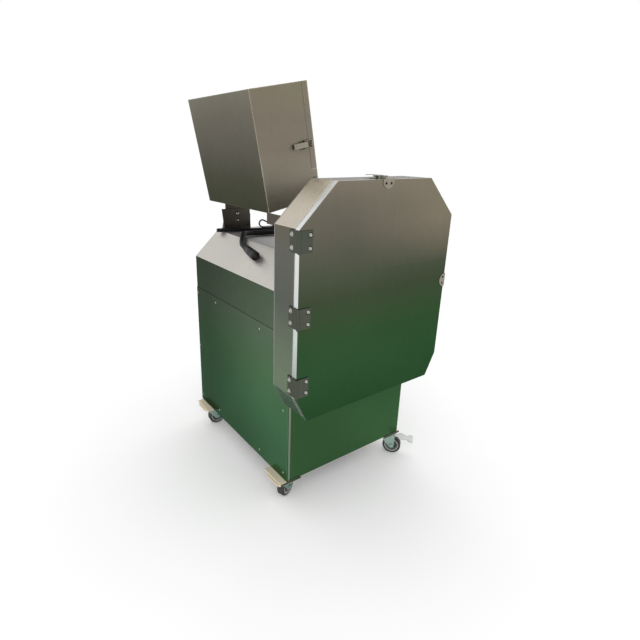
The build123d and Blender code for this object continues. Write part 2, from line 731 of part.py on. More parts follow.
def make_hopper_fittings():
    """Hinges and latch of the hopper's door, the rear bracket with its tab, and two front arms."""
    corner = Location((hopper_x, hopper_y, hopper_z), (0, -hopper_lean, 0))
    corner *= Location(Plane(origin=(hopper_width, hopper_depth, 0), x_dir=(0, -1, 0), z_dir=(0, 0, -1)))
    hinges = [hinge_at(corner, height) for height in (-hopper_door_bottom - 60, -hopper_length + 60)]
    keep("hinge_fixed_leaves", *[piece for fixed, moving, pin in hinges for piece in (fixed, pin)])

    seam = Location((hopper_x, hopper_y, hopper_z), (0, -hopper_lean, 0))
    seam_middle = (hopper_width - hopper_strip, 0, hopper_latch_s)
    seam *= Location(Plane(origin=seam_middle, x_dir=(-1, 0, 0), z_dir=(0, -1, 0)))
    flat_keeper = half_round_plate(-3, 17, 34, 1.5)
    base, lever, bail, keeper = latch_at(seam, flat_keeper)
    keep("latch_bases", base)
    keep("hopper_latch_lever", lever)
    keep("hopper_latch_bail", bail)
    keep("hopper_door_fittings", keeper, *[moving for fixed, moving, pin in hinges])

    web_back = hopper_y + hopper_depth - sheet - tab_thickness
    web_top = roof_height + bracket_height
    web = [(bracket_foot_left, roof_height), (bracket_foot_right, roof_height)]
    web += [(bracket_top_right, web_top), (bracket_top_left, web_top)]
    bracket = prism_y(web, web_back - bracket_sheet, web_back)
    foot_back = web_back + bracket_flange
    foot_top = roof_height + bracket_sheet
    bracket += block(bracket_foot_left, bracket_foot_right, web_back, foot_back, roof_height, foot_top)
    gusset = [(web_back, roof_height), (foot_back, roof_height), (web_back, roof_height + 70)]
    for x in (bracket_foot_left, bracket_foot_right - bracket_sheet):
        bracket += prism([(x, y, z) for y, z in gusset], (1, 0, 0), bracket_sheet)
    tab = block(tab_left, tab_right, web_back, web_back + tab_thickness, tab_low, tab_top)
    keep("rear_bracket", bracket, tab)

    reach = hopper_y + 20
    left_end = left_arm_x + left_arm_width
    left_low = hopper_z - arm_drop
    left = block(left_arm_x, left_arm_x + bracket_sheet, 0, reach, left_low, hopper_z + 14)
    left += block(left_arm_x, left_end, 0, reach, left_low, left_low + bracket_sheet)
    left += block(left_arm_x, left_end, 0, bracket_sheet, left_low, hopper_z + 10)
    left -= block(left_arm_x - 1, left_end + 1, bracket_sheet, hopper_y, hopper_z, hopper_z + 60)
    low_corner = hopper_z + hopper_width * math.sin(math.radians(hopper_lean))
    right_end = right_arm_x + right_arm_width
    right_low = low_corner - arm_drop
    right = block(right_arm_x, right_end, 0, reach, low_corner - bracket_sheet, low_corner)
    right += block(right_end - bracket_sheet, right_end, 0, reach, right_low, low_corner)
    right += block(right_arm_x, right_end, 0, bracket_sheet, right_low, low_corner + 8)
    bare = lean(block(-20, hopper_width, 0, hopper_depth, 0, hopper_length))
    filled = lean(block(-20, hopper_width, 0, hopper_depth, -hopper_skirt, hopper_length))
    arms = [(left - bare), (right - filled)]
    keep("front_arms", *[arm.solids().sort_by(SortBy.VOLUME)[-1] for arm in arms])


def make_controls():
    """Start button and emergency stop on the roof's right slope, each with its collar."""
    up = (Align.CENTER, Align.CENTER, Align.MIN)
    collars = []
    for name, place, radius, height, travel in button_places():
        collar = Cylinder(radius + 4, collar_height, align=up) - Cylinder(button_stem + seat_gap, 30)
        collars.append(place * collar)
        under_head = collar_height + travel + seat_gap
        stem = Pos(0, 0, -12) * Cylinder(button_stem, 12 + under_head, align=up)
        keep(name, place * (stem + Pos(0, 0, under_head) * Cylinder(radius, height, align=up)))
    keep("button_collars", *collars)


def make_caster(name):
    """Swivel caster: plate and raceway on the cabinet, forked yoke, axle, wheel and any brake pedal."""
    x, y = caster_centres[name]
    top = cabinet_bottom - pad_thickness
    heading = math.radians(caster_headings[name])
    wheel_x = x + caster_trail * math.cos(heading)
    wheel_y = y + caster_trail * math.sin(heading)
    place = Location((x, y, 0), (0, 0, caster_headings[name]))
    raceway_low = top - caster_plate - raceway_height
    crown_top = raceway_low - seat_gap
    crown_low = 2 * wheel_radius + wheel_top_gap
    head_top = crown_low + 2.2
    head_low = crown_low - 1.7

    outline = Pos(x, y, top - caster_plate) * RectangleRounded(caster_plate_width, caster_plate_length, 18)
    plate = extrude(outline, amount=caster_plate)
    plate += rod((x, y, raceway_low), (x, y, top - caster_plate), raceway_radius)
    plate += rod((x, y, head_low), (x, y, raceway_low), kingpin_radius)
    plate += rod((x, y, head_low), (x, y, head_top), kingpin_radius + 4)

    half = wheel_width / 2 + wheel_side_gap
    fork_half = half + fork_sheet
    fork = rod((0, 0, crown_low), (0, 0, crown_top), crown_radius)
    fork += block(0, pedal_x - 7, -fork_half, fork_half, crown_low, crown_low + fork_sheet)
    fork -= rod((0, 0, crown_low - 1), (0, 0, crown_top + 1), kingpin_radius + seat_gap)
    fork -= rod((0, 0, crown_low - 1), (0, 0, head_top + seat_gap), crown_radius - 5)
    shoulder = crown_low + fork_sheet
    leg = [(-16, shoulder), (caster_trail + 12, shoulder), (caster_trail + 10, wheel_radius - 9)]
    leg += [(caster_trail - 10, wheel_radius - 9)]
    ear = [(pedal_x - 9, crown_low), (pedal_x + 6, crown_low), (pedal_x + 5, pedal_z + 6)]
    ear += [(pedal_x - 5, pedal_z + 6)]
    for low_y in (-fork_half, half):
        fork += prism([(px, low_y, pz) for px, pz in leg], (0, 1, 0), fork_sheet)
        if name in braked_casters:
            fork += prism([(px, low_y, pz) for px, pz in ear], (0, 1, 0), fork_sheet)
    if name in braked_casters:
        pin_start, pin_end = (pedal_x, -fork_half - 1, pedal_z), (pedal_x, fork_half + 1, pedal_z)
        fork -= rod(pin_start, pin_end, pedal_pin + running_fit)
    head_end = fork_half + 5
    fork += rod((caster_trail, -half, wheel_radius), (caster_trail, half, wheel_radius), axle_radius)
    for side in (-1, 1):
        inner = (caster_trail, side * half, wheel_radius)
        fork += rod(inner, (caster_trail, side * head_end, wheel_radius), axle_head)
    keep("caster_fork_" + name, place * fork)

    wheel = Location((wheel_x, wheel_y, wheel_radius), (0, 0, caster_headings[name]))
    width = wheel_width / 2
    rim_radius = wheel_radius - tyre_depth
    tyre = ring((0, -width, 0), (0, width, 0), wheel_radius, rim_radius)
    tyre = chamfer(tyre.edges().filter_by(GeomType.CIRCLE).group_by(lambda edge: edge.radius)[-1], 3)
    rim = ring((0, -width + 1, 0), (0, width - 1, 0), rim_radius, rim_radius - 5)
    rim += ring((0, -4, 0), (0, 4, 0), rim_radius - 4, 10)
    rim += ring((0, -half + seat_gap, 0), (0, half - seat_gap, 0), 11, axle_radius + running_fit)
    keep("caster_wheel_" + name, wheel * tyre, wheel * rim)

    if name in braked_casters:
        edge = [(6, -11), (20, -11), (30, -24), (42, -24), (54, -16), (64, -16), (74, -27), (88, -27)]
        edge += [(px, -py) for px, py in reversed(edge)]
        pedal = prism([(px, py, -pedal_sheet / 2) for px, py in edge], (0, 0, 1), pedal_sheet)
        pedal += block(-4, 12, -11, 11, -4, 4)
        pedal += rod((0, -fork_half, 0), (0, fork_half, 0), pedal_pin)
        keep("brake_pedal_" + name, place * Location((pedal_x, 0, pedal_z), (0, pedal_tilt, 0)) * pedal)
    return plate


def make_casters():
    """The four casters, two of them braked."""
    keep("caster_mounts", *[make_caster(name) for name in caster_centres])


def tube_along(points, radius, name):
    """Cable along straight runs joined by tangent arcs, with its bend radii printed."""
    radii = []
    for before, here, after in zip(points, points[1:], points[2:]):
        first = Vector(*here) - Vector(*before)
        second = Vector(*after) - Vector(*here)
        turn = math.radians(first.get_angle(second))
        radii.append(0.45 * min(first.length, second.length) / math.tan(turn / 2))
    path = FilletPolyline(*points, radius=radii)
    start = Plane(origin=points[0], z_dir=Vector(*points[1]) - Vector(*points[0]))
    solid = sweep(start * Circle(radius), path=path)
    ideal = math.pi * radius**2 * path.length
    print(name, "length", round(path.length), "radii", [round(r) for r in radii])
    print(name, "volume over section times length", round(solid.volume / ideal, 4))
    return solid


def on_slope(x, y, lift):
    """Point the given distance above the roof's left slope."""
    rise = roof_height - shoulder_height
    slant = math.hypot(roof_slope_run, rise)
    return (x, y, shoulder_height + (rise * x + lift * slant) / roof_slope_run)


def cable_outlet(start, after, radius):
    """Gland at the start of a cable: socket in line with it, on a round post that stands on the roof."""
    begin = Vector(*start)
    back = (begin - Vector(*after)).normalized()
    centre = begin + back * (2.4 * radius + 6)
    gland = rod(tuple(begin), tuple(centre), radius + 3)
    gland += rod((centre.X, centre.Y, roof_height), (centre.X, centre.Y, centre.Z + radius), radius + 4)
    gland += rod((centre.X, centre.Y, roof_height), (centre.X, centre.Y, roof_height + 6), radius + 10)
    return gland - rod((centre.X, centre.Y, roof_height - 20), (centre.X, centre.Y, roof_height), 60)


def make_cables():
    """Power lead with its connector on the roof's left slope, and the signal cable's hank on the roof."""
    low = roof_height + power_cable_radius + seat_gap
    route = [(378, 440, low + 14), (346, 462, low + 12), (312, 488, low + 5), (276, 516, low + 1)]
    route += [(242, 537, low + 0.3), (205, 553, low + 0.3), (168, 561, low + 1), (139, 548, low + 4)]
    route += [(119, 522, low + 6), on_slope(101, 498, 15), on_slope(88, 478, 13), on_slope(77, 455, 16)]
    route += [on_slope(70, 431, connector_lift), on_slope(66, 403, connector_lift)]
    keep("power_lead", tube_along(route, power_cable_radius, "power lead"))

    along = Vector(*route[-1]) - Vector(*route[-2])
    plug_place = Location(Plane(origin=route[-1], z_dir=along))
    gland = power_cable_radius + 4
    profile = [(0, 0), (power_cable_radius + 2, 0), (gland, 20), (gland, 26), (gland + 2, 26)]
    profile += [(gland + 2, 64), (connector_radius - 1, 64), (connector_radius, 66), (connector_radius, 94)]
    profile += [(connector_radius - 2, connector_length), (0, connector_length)]
    half_section = make_face(Polyline(*[(radius, 0, z) for radius, z in profile], close=True))
    keep("power_connector", plug_place * revolve(half_section, Axis.Z, 360))

    hank_low = roof_height + seat_gap
    ends = [Pos(103, 697) * Circle(14), Pos(378, 618) * Circle(24)]
    outline = make_hull([edge for end in ends for edge in end.edges()])
    keep("signal_hank", extrude(Pos(0, 0, hank_low) * outline, amount=hank_height))
    stretch = [(292, 656, hank_low + 10), (285, 668, 981), (308, 681, 997), (330, 683, 989)]
    stretch += [(358, 681, 973), (385, 675, 966), (408, 669, 966)]
    keep("signal_lead", tube_along(stretch, signal_cable_radius, "signal lead"))
    power_gland = cable_outlet(route[0], route[1], power_cable_radius)
    keep("cable_glands", power_gland, cable_outlet(stretch[-1], stretch[-2], signal_cable_radius))


def write_parts():
    """Move everything to the final origin and write one file for each sub-part."""
    os.makedirs("parts", exist_ok=True)
    corded = ("power_lead", "power_connector", "signal_hank", "signal_lead")
    rigid = [solid for name, solids in parts.items() if name not in corded for solid in solids]
    boxes = [solid.bounding_box() for solid in rigid]
    middle_x = (min(box.min.X for box in boxes) + max(box.max.X for box in boxes)) / 2
    middle_y = (min(box.min.Y for box in boxes) + max(box.max.Y for box in boxes)) / 2
    print("origin in cabinet coordinates", round(middle_x, 4), round(middle_y, 4))
    for name, solids in parts.items():
        moved = [Pos(-middle_x, -middle_y, 0) * solid for solid in solids]
        export_step(Compound(label=name, children=moved), "parts/" + name + ".step")


make_frame()
make_panels()
make_housing()
front_of_door = make_door()
make_door_fittings(front_of_door)
make_cutter()
make_bearings()
make_drive()
make_hopper()
make_hopper_fittings()
make_controls()
make_casters()
make_cables()
write_parts()
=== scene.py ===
"""Looks of the vegetable cutting machine: steel finishes, screws, connectors and cables."""

import json
import math

import bmesh
import bpy
from mathutils import Matrix, Vector


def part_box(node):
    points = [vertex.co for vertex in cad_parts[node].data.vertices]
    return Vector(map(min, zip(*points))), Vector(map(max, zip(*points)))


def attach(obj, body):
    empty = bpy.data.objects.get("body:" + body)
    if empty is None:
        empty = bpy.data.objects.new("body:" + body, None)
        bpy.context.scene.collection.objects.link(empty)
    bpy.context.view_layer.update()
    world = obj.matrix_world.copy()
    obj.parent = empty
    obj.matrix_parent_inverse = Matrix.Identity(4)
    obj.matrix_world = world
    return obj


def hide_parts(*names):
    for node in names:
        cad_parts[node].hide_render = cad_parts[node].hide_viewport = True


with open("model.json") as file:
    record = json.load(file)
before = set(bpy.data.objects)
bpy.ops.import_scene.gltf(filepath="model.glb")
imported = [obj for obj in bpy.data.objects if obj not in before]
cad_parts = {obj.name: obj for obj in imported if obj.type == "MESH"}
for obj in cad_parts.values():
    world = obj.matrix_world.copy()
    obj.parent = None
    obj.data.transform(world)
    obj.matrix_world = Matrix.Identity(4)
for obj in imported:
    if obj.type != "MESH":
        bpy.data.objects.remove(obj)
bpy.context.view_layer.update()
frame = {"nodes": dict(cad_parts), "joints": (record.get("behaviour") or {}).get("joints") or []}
nodes = frame["nodes"]

# Origin of the row frame in cabinet coordinates, in millimetres: the roof starts at the cabinet's corner
roof_low, roof_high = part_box("roof")
origin_x = -1000 * roof_low.x
origin_y = -1000 * roof_low.y


def at(x, y, z):
    """Point given in cabinet coordinates in millimetres, in the row frame in metres."""
    return Vector(((x - origin_x) / 1000, (y - origin_y) / 1000, z / 1000))


def colour(red, green, blue):
    """Linear colour of an sRGB triple from 0 to 255."""
    def linear(value):
        value /= 255
        return value / 12.92 if value <= 0.04045 else ((value + 0.055) / 1.055) ** 2.4
    return (linear(red), linear(green), linear(blue), 1.0)


# Camera at the photograph's viewpoint, with its lens and centre given in the photograph's pixels
photo_width = 640
lens_pixels = 460.2077
centre_across, centre_down = 289.2962, 302.2769
sensor_width = 36
camera = bpy.data.objects.new("camera", bpy.data.cameras.new("camera"))
bpy.context.collection.objects.link(camera)
yaw, pitch, roll = 0.615947, -0.321345, 0.016776
forward = Vector((math.sin(yaw) * math.cos(pitch), math.cos(yaw) * math.cos(pitch), math.sin(pitch)))
level_right = Vector((math.cos(yaw), -math.sin(yaw), 0))
level_up = level_right.cross(forward)
right = math.cos(roll) * level_right + math.sin(roll) * level_up
up = -math.sin(roll) * level_right + math.cos(roll) * level_up
turn = Matrix((right, up, -forward)).transposed()
camera.matrix_world = Matrix.Translation(at(-838.491, -1178.768, 1313.393)) @ turn.to_4x4()
camera.data.sensor_width = sensor_width
camera.data.lens = sensor_width * lens_pixels / photo_width
camera.data.shift_x = (photo_width / 2 - centre_across) / photo_width
camera.data.shift_y = (centre_down - photo_width / 2) / photo_width
camera.data.clip_start = 0.05
camera.data.clip_end = 60
bpy.context.scene.camera = camera
bpy.context.scene.view_settings.view_transform = "Standard"


# Node helpers
class Tree:
    """Small helper that adds and joins nodes of one material."""

    def __init__(self, name):
        self.material = bpy.data.materials.new(name)
        self.material.use_nodes = True
        self.nodes = self.material.node_tree.nodes
        self.links = self.material.node_tree.links
        self.shader = self.nodes["Principled BSDF"]

    def add(self, kind, **values):
        node = self.nodes.new("ShaderNode" + kind)
        for key, value in values.items():
            setattr(node, key, value)
        return node

    def join(self, source, target):
        self.links.new(source, target)

    def feed(self, socket, value):
        """Join a socket to another node's output, or set it to a plain value."""
        if hasattr(value, "is_output"):
            self.join(value, socket)
        else:
            socket.default_value = value

    def math(self, operation, first, second=0.0):
        node = self.add("Math", operation=operation)
        self.feed(node.inputs[0], first)
        self.feed(node.inputs[1], second)
        return node.outputs[0]

    def spread(self, value, low, high, new_low=0.0, new_high=1.0):
        node = self.add("MapRange")
        keys = ("Value", "From Min", "From Max", "To Min", "To Max")
        for key, item in zip(keys, (value, low, high, new_low, new_high)):
            self.feed(node.inputs[key], item)
        return node.outputs[0]

    def mix(self, factor, first, second):
        node = self.add("Mix", data_type="RGBA")
        self.feed(node.inputs["Factor"], factor)
        self.feed(node.inputs["A"], first)
        self.feed(node.inputs["B"], second)
        return node.outputs["Result"]

    def noise(self, scale, detail=3.0, stretch=(1, 1, 1)):
        """Noise in the piece's own coordinates, stretched along an axis where a stretch value is small."""
        place = self.add("TexCoord").outputs["Object"]
        mapping = self.add("Mapping")
        self.join(place, mapping.inputs["Vector"])
        mapping.inputs["Scale"].default_value = stretch
        node = self.add("TexNoise")
        self.join(mapping.outputs[0], node.inputs["Vector"])
        node.inputs["Scale"].default_value = scale
        node.inputs["Detail"].default_value = detail
        return node.outputs["Fac"]

    def part_of(self, output, letter):
        split = self.add("SeparateXYZ")
        self.join(self.add("TexCoord").outputs[output], split.inputs[0])
        return split.outputs[letter]

    def axis(self, letter):
        """Place along an axis of the row frame, in metres."""
        return self.part_of("Object", letter)

    def normal(self, letter):
        """How far the surface faces along an axis, from -1 to 1."""
        return self.part_of("Normal", letter)

    def along(self, letter, start, end, new_low=0.0, new_high=1.0):
        """Spread from start to end, given in cabinet coordinates in millimetres."""
        origin = {"X": origin_x, "Y": origin_y, "Z": 0}[letter]
        low, high = (start - origin) / 1000, (end - origin) / 1000
        return self.spread(self.axis(letter), low, high, new_low, new_high)

    def ramp(self, value, stops):
        node = self.add("ValToRGB")
        self.join(value, node.inputs["Fac"])
        points = node.color_ramp.elements
        while len(points) < len(stops):
            points.new(0.5)
        for point, (place, shade) in zip(points, stops):
            point.position = place
            point.color = shade
        return node.outputs["Color"]

    def by_height(self, stops):
        """Colour by height in metres, from (height, colour) pairs, lowest first."""
        low, high = stops[0][0], stops[-1][0]
        height = self.spread(self.axis("Z"), low, high)
        return self.ramp(height, [((z - low) / (high - low), shade) for z, shade in stops])

    def bump(self, height, strength, distance, radius=0.0):
        node = self.add("Bump")
        node.inputs["Strength"].default_value = strength
        node.inputs["Distance"].default_value = distance
        self.join(height, node.inputs["Height"])
        if radius:
            edge = self.add("Bevel", samples=4)
            edge.inputs["Radius"].default_value = radius
            self.join(edge.outputs[0], node.inputs["Normal"])
        self.join(node.outputs[0], self.shader.inputs["Normal"])


def brushed(name, shade, rough=0.3, grain=(1, 1, 0.02), grain_size=420, edge=0.0022, smudge=0.06, vary=0.035,
            metallic=1.0, edge_highlight=0.35, grazing=0.6):
    """Brushed steel: shade is a colour, or a function that takes the tree and gives a colour output.

    vary and smudge are the fine and the broad change of brightness, edge_highlight the gain of the painted
    highlight along the edges, which are rounded over the length edge, and grazing the tint of the steel seen
    at a flat angle.
    """
    tree = Tree(name)
    base = shade(tree) if callable(shade) else shade
    fine = tree.noise(grain_size, 2.0, grain)
    broad = tree.noise(2.6, 4.0)
    dots = tree.noise(38, 2.0)
    factor = tree.math("MULTIPLY", tree.spread(fine, 0.3, 0.7, 1 - vary, 1 + vary),
                       tree.spread(broad, 0.3, 0.7, 1 - smudge, 1 + smudge))
    # Painted highlight along the edges: the base is brightened where the rounded normal turns from the true
    # one
    rounded = tree.add("Bevel", samples=4)
    rounded.inputs["Radius"].default_value = edge
    likeness = tree.add("VectorMath", operation="DOT_PRODUCT")
    tree.join(rounded.outputs[0], likeness.inputs[0])
    tree.join(tree.add("NewGeometry").outputs["True Normal"], likeness.inputs[1])
    edge_glint = tree.spread(likeness.outputs["Value"], 0.99, 0.85, 1.0, 1.0 + edge_highlight)
    if not hasattr(base, "is_output"):
        base = base[:3]
    lit = scaled(tree, base, tree.math("MULTIPLY", factor, edge_glint))
    tree.join(lit, tree.shader.inputs["Base Color"])
    wear = tree.math("ADD", tree.spread(fine, 0.3, 0.7, -0.03, 0.03),
                     tree.spread(dots, 0.3, 0.7, rough - 0.03, rough + 0.03))
    tree.join(wear, tree.shader.inputs["Roughness"])
    tree.shader.inputs["Metallic"].default_value = metallic
    tree.shader.inputs["Specular Tint"].default_value = (grazing, grazing, grazing, 1)
    tree.bump(fine, 0.06, 0.0001, edge)
    return tree.material


def plain(name, shade, rough=0.5, metallic=0.0, grain=220, depth=0.2, edge=0.0008, vary=0.12, distance=0.0003,
          gloss=0.5):
    """Painted, cast, plastic or rubber surface with a fine texture and slight colour change."""
    tree = Tree(name)
    fine = tree.noise(grain, 4.0)
    broad = tree.noise(9, 3.0)
    darker = tuple(channel * (1 - vary) for channel in shade[:3]) + (1.0,)
    lighter = tuple(min(1.0, channel * (1 + vary)) for channel in shade[:3]) + (1.0,)
    tree.join(tree.mix(tree.spread(broad, 0.35, 0.65), darker, lighter), tree.shader.inputs["Base Color"])
    tree.join(tree.spread(fine, 0.3, 0.7, rough - 0.07, rough + 0.07), tree.shader.inputs["Roughness"])
    tree.shader.inputs["Metallic"].default_value = metallic
    tree.shader.inputs["Specular IOR Level"].default_value = gloss
    tree.bump(fine, depth, distance, edge)
    return tree.material


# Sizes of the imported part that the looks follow, in millimetres and in cabinet coordinates
front_of_door = -134
hopper_corner = (66, 236, 1092)
hopper_lean = math.radians(11.2)
hopper_seam = 215.8
hopper_door_bottom = 112
roof_height = 953
shoulder_height = 845
slope_run = 113
wheel_radius = 0.04


def scaled(tree, shade, factor):
    """Colour output made brighter or darker by a factor."""
    node = tree.add("VectorMath", operation="SCALE")
    tree.feed(node.inputs[0], shade)
    tree.join(factor, node.inputs["Scale"])
    return node.outputs[0]


# Shades of the steel sheets, with painted reflections: green from a floor low down, brighter higher up and on
# faces turned up
def door_shade(tree):
    """Face of the door, with a painted reflection of a green floor low down and painted light high up on the
    right, and its pale flange, whose painted reflection brightens with height.
    """
    face = tree.by_height([
        (0.46, colour(42, 75, 44)), (0.62, colour(47, 80, 49)), (0.72, colour(49, 79, 48)),
        (0.87, colour(63, 75, 55)), (1.01, colour(88, 90, 77)), (1.08, colour(102, 98, 87)),
        (1.16, colour(112, 107, 95)), (1.23, colour(128, 120, 106))])
    # Painted light: the face is made lighter high up on the right
    right = tree.along("X", 150, 560)
    high = tree.along("Z", 930, 1100)
    face = tree.mix(tree.math("MULTIPLY", right, high), face, colour(128, 120, 103))
    flange = tree.by_height([
        (0.46, colour(156, 172, 156)), (0.52, colour(150, 162, 150)), (0.58, colour(168, 176, 172)),
        (0.75, colour(204, 210, 208)), (1.1, colour(232, 233, 232))])
    face_edge = front_of_door + 2.2
    return tree.mix(tree.along("Y", face_edge, face_edge + 1), face, flange)


def housing_shade(tree):
    """Walls, the lighter chamfers above and the green ones below, and the level top, with painted
    reflections: green low down and on faces turned down, pale on faces turned up.
    """
    wall = tree.by_height([
        (0.46, colour(76, 100, 78)), (0.52, colour(112, 128, 108)), (0.58, colour(114, 128, 107)),
        (0.69, colour(106, 118, 100)), (0.86, colour(93, 98, 90)), (1.02, colour(102, 102, 95)),
        (1.09, colour(104, 100, 90))])
    chamfer = tree.by_height([
        (1.09, colour(202, 194, 181)), (1.17, colour(212, 204, 187)), (1.23, colour(222, 213, 193))])
    level = tree.normal("Z")
    lower = tree.mix(tree.spread(level, -0.4, -0.2), colour(104, 134, 108), wall)
    upper = tree.mix(tree.spread(level, 0.3, 0.5), lower, chamfer)
    return tree.mix(tree.spread(level, 0.85, 0.95), upper, colour(147, 141, 129))


def cover_shade(tree):
    """Side and back covers, with a painted green reflection and painted light that makes them lighter towards
    the front.
    """
    height = tree.by_height([
        (0.11, colour(53, 82, 58)), (0.3, colour(52, 82, 58)), (0.5, colour(55, 79, 56)),
        (0.69, colour(62, 74, 60)), (0.84, colour(58, 69, 55))])
    return scaled(tree, height, tree.along("Y", 640, 120, 1.0, 2.1))


def roof_shade(tree):
    """Skirt like the covers, and the pale slopes and top, whose paleness is a painted reflection of bright
    surroundings.
    """
    level = tree.normal("Z")
    sloped = tree.mix(tree.spread(level, 0.3, 0.5), cover_shade(tree), colour(209, 205, 199))
    return tree.mix(tree.spread(level, 0.85, 0.95), sloped, colour(214, 213, 211))


def hopper_shade(tree):
    """Sides and front of the hopper, with painted light that changes by height and by which way a wall faces,
    and a painted shade along the seam of the strip that the side door folds over.
    """
    side = tree.by_height([
        (1.1, colour(70, 72, 58)), (1.2, colour(80, 80, 67)), (1.33, colour(104, 101, 92)),
        (1.42, colour(117, 113, 102)), (1.52, colour(134, 130, 118))])
    front = tree.by_height([
        (1.1, colour(158, 151, 137)), (1.2, colour(168, 161, 145)), (1.31, colour(139, 131, 117)),
        (1.41, colour(130, 122, 109)), (1.5, colour(132, 125, 107))])
    facing = tree.math("ABSOLUTE", tree.normal("Y"))
    walls = tree.mix(tree.spread(facing, 0.4, 0.6), side, front)
    x = tree.math("ADD", tree.axis("X"), (origin_x - hopper_corner[0]) / 1000)
    z = tree.math("ADD", tree.axis("Z"), -hopper_corner[2] / 1000)
    sine, cosine = math.sin(hopper_lean), math.cos(hopper_lean)
    across = tree.math("ADD", tree.math("MULTIPLY", x, cosine), tree.math("MULTIPLY", z, sine))
    along = tree.math("SUBTRACT", tree.math("MULTIPLY", z, cosine), tree.math("MULTIPLY", x, sine))
    off_seam = tree.math("ABSOLUTE", tree.math("SUBTRACT", across, hopper_seam / 1000))
    # Painted shade: a dark line along the seam, on faces turned forwards and above the seam's lower end
    forwards = tree.spread(tree.normal("Y"), -0.6, -0.4, 1.0, 0.0)
    seam_shade = tree.math("MULTIPLY", tree.spread(off_seam, 0.0012, 0.0026, 0.75, 0.0), forwards)
    seam_end = hopper_door_bottom / 1000
    seam_shade = tree.math("MULTIPLY", seam_shade, tree.spread(along, seam_end, seam_end + 0.002))
    return tree.mix(seam_shade, walls, colour(58, 70, 66))


def front_shade(tree):
    """Front panel with a painted green reflection low down, the dark joint and a painted highlight on the
    fold at its left corner.
    """
    panel = tree.by_height([
        (0.11, colour(62, 97, 62)), (0.3, colour(56, 90, 56)), (0.5, colour(49, 80, 49)),
        (0.84, colour(70, 76, 64))])
    # The dark joint at the corner, then a painted highlight along the fold
    joint_and_fold_highlight = tree.mix(tree.along("X", 2, 3), colour(58, 60, 48), colour(122, 140, 120))
    return tree.mix(tree.along("X", 11, 12), joint_and_fold_highlight, panel)


def pad_shade(tree):
    """Beige pad whose edge in front of the panel is dark with a painted shade."""
    return tree.mix(tree.along("Y", -2, 0), colour(40, 56, 44), colour(224, 211, 187))


steel_door = brushed("steel_door", door_shade, grazing=0.5)
steel_housing = brushed("steel_housing", housing_shade, edge=0.004, edge_highlight=0.8, grazing=0.55)
steel_cover = brushed("steel_cover", cover_shade, rough=0.2, grazing=0.5)
steel_roof = brushed("steel_roof", roof_shade, rough=0.46, grain=(1, 0.02, 1), vary=0.015, smudge=0.04,
                     grazing=0.52)
steel_hopper = brushed("steel_hopper", hopper_shade, rough=0.48, edge=0.005, edge_highlight=1.3, grazing=0.55)
steel_front = brushed("steel_front", front_shade, rough=0.22, grazing=0.5)
steel_inside = brushed("steel_inside", colour(150, 150, 146), rough=0.35)
steel_dark = brushed("steel_dark", colour(88, 83, 76), rough=0.36)
steel_fitting = brushed("steel_fitting", colour(80, 84, 74), rough=0.33, grain_size=240, smudge=0.14,
                        edge=0.0012)
steel_keeper = brushed("steel_keeper", colour(146, 140, 126), rough=0.33, grain_size=240, smudge=0.12,
                       edge=0.0012)
steel_screw = brushed("steel_screw", colour(160, 163, 154), rough=0.25, edge=0.0004)
# Near-black finish of the keeper screws, a painted shade of their holes
hole_shade = plain("hole_shade", colour(26, 25, 20), rough=0.5, metallic=0.6, edge=0.0)
steel_blade = brushed("steel_blade", colour(176, 178, 178), rough=0.22, grain=(1, 0.05, 1))
steel_tube = brushed("steel_tube", colour(140, 140, 134), rough=0.45)
zinc = brushed("zinc", colour(158, 184, 174), rough=0.36, grain=(1, 1, 1), grain_size=90, smudge=0.22,
               edge=0.0012)
pad_finish = brushed("pad_finish", pad_shade, rough=0.5, grain=(1, 1, 1), grain_size=120, smudge=0.08,
                     metallic=0.1, edge=0.0012)
pedal_finish = plain("pedal_finish", colour(205, 208, 204), rough=0.4, metallic=0.5)
cast_iron = plain("cast_iron", colour(70, 86, 80), rough=0.6, grain=160, depth=0.5)
motor_paint = plain("motor_paint", colour(92, 104, 112), rough=0.45, grain=180, depth=0.3)
black_rubber = plain("black_rubber", colour(30, 30, 30), rough=0.7, grain=300, depth=0.3)
seal_rubber = plain("seal_rubber", colour(205, 206, 202), rough=0.6)
cable_sheath = plain("cable_sheath", colour(17, 17, 18), rough=0.6, grain=500, depth=0.12, edge=0.0,
                     vary=0.2, gloss=0.3)
black_plastic = plain("black_plastic", colour(22, 22, 23), rough=0.4, grain=350, depth=0.1, gloss=0.5)
green_plastic = plain("green_plastic", colour(30, 140, 70), rough=0.3)
red_plastic = plain("red_plastic", colour(190, 20, 24), rough=0.28)


